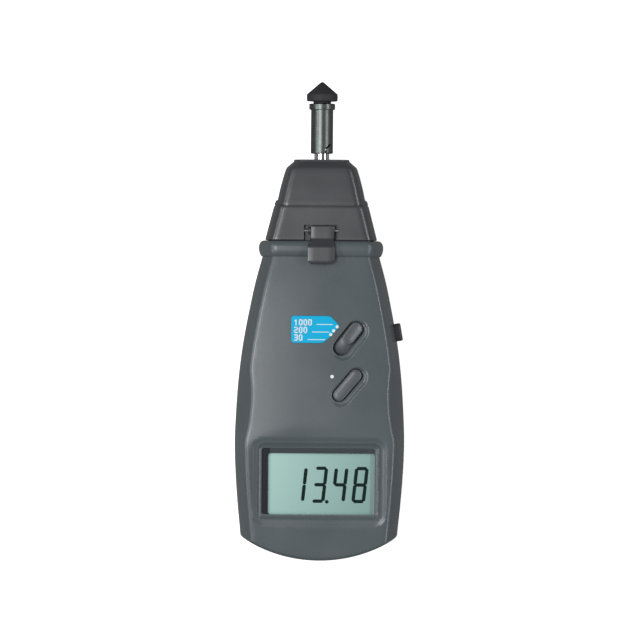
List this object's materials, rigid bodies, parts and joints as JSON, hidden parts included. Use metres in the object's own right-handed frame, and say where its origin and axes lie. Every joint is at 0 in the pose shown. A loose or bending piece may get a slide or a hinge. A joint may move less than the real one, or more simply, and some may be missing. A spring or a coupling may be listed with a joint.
{
  "type": "hand-held tachometer",
  "caption": "Hand-held combination tachometer: tapered case with display, mode slider and buttons, lift-off contact head on a nose, spinning shaft and rubber cone tip.",
  "frame": {"origin": "middle of the bounding box in plan, on the flat back that it lies on", "axes": "+Y along the case towards the cone tip, +Z out of the display face, +X to the right seen from the face"},
  "size_m": [0.0762, 0.215, 0.0385],
  "materials": {
    "case": "satin moulded dark grey",
    "head": "satin moulded dark grey, slightly warmer",
    "button": "satin black",
    "clear": "clear polished window",
    "red_clear": "dark red clear window",
    "lcd": "pale green display glass",
    "figures": "dark display figures",
    "black_plastic": "matt black",
    "white_plastic": "matt off-white",
    "board": "solder-masked board",
    "parts": "board components",
    "strip": "layered elastomer",
    "label": "printed blue label",
    "steel": "bright",
    "dark_steel": "dark plated, glossy",
    "cell": "sleeved cell",
    "brass": "turned",
    "rubber": "satin black rubber"
  },
  "bodies": {
    "housing": {"front_case": "case", "rear_case": "case", "display_window": "clear", "lcd_frame": "black_plastic", "lcd_glass": "lcd", "lcd_digits": "figures", "lcd_reflector": "white_plastic", "zebra_strips": "strip", "display_board": "board", "controller_chip": "black_plastic", "main_board": "board", "board_header": "black_plastic", "crystal": "steel", "board_parts": "parts", "board_screws": "steel", "case_screws": "steel", "mode_label": "label", "mode_switch": "black_plastic", "memory_switch": "black_plastic", "measure_switch": "black_plastic", "battery_cells": "cell", "battery_springs": "steel", "battery_contacts": "steel", "optics_block": "black_plastic", "laser_module": "brass", "receiver_lens": "clear", "photodiode": "black_plastic", "photo_window": "red_clear"},
    "contact_head": {"head_base": "head", "head_cap": "head", "head_screws": "steel", "latch_pins": "steel", "latch_springs": "steel", "bearing_outers": "steel", "bearing_balls": "steel"},
    "rotor": {"shaft": "steel", "bearing_inners": "steel", "target_disc": "white_plastic", "circlip": "dark_steel", "drive_pin": "steel"},
    "contact_tip": {"tip_sleeve": "dark_steel", "tip_cone": "rubber"},
    "front_latch": {"front_latch": "head"},
    "rear_latch": {"rear_latch": "head"},
    "mode_slider": {"mode_knob": "case", "mode_wiper": "white_plastic"},
    "memory_key": {"memory_button": "case", "memory_plunger": "white_plastic"},
    "measure_key": {"measure_button": "button", "measure_plunger": "white_plastic"},
    "battery_door": {"battery_door": "case"}
  },
  "joints": [
    {"name": "head_lift", "type": "slide", "parent": "housing", "child": "contact_head", "axis": [0, 1, 0], "range_m": [0, 0.03]},
    {"name": "shaft_spin", "type": "hinge", "parent": "contact_head", "child": "rotor", "pos_m": [0, 0.0525, 0.01961], "axis": [0, 1, 0], "continuous": true},
    {"name": "tip_pull", "type": "slide", "parent": "rotor", "child": "contact_tip", "axis": [0, 1, 0], "range_m": [0, 0.025]},
    {"name": "front_latch_tilt", "type": "hinge", "parent": "contact_head", "child": "front_latch", "pos_m": [0, 0.0405, 0.03172], "axis": [-1, 0, 0], "range_deg": [0, 10], "stiffness_Nm_per_rad": 0.02},
    {"name": "rear_latch_tilt", "type": "hinge", "parent": "contact_head", "child": "rear_latch", "pos_m": [0, 0.0405, 0.0075], "axis": [1, 0, 0], "range_deg": [0, 10], "stiffness_Nm_per_rad": 0.02},
    {"name": "mode_slide", "type": "slide", "parent": "housing", "child": "mode_slider", "axis": [0.6157, 0.788, 0], "range_m": [-0.0059, 0]},
    {"name": "memory_press", "type": "slide", "parent": "housing", "child": "memory_key", "axis": [0, 0, -1], "range_m": [0, 0.0008], "stiffness_N_per_m": 800},
    {"name": "measure_press", "type": "slide", "parent": "housing", "child": "measure_key", "axis": [-0.985, -0.1726, 0], "range_m": [0, 0.0008], "stiffness_N_per_m": 800},
    {"name": "door_slide", "type": "slide", "parent": "housing", "child": "battery_door", "axis": [0, -1, 0], "range_m": [0, 0.078]}
  ]
}
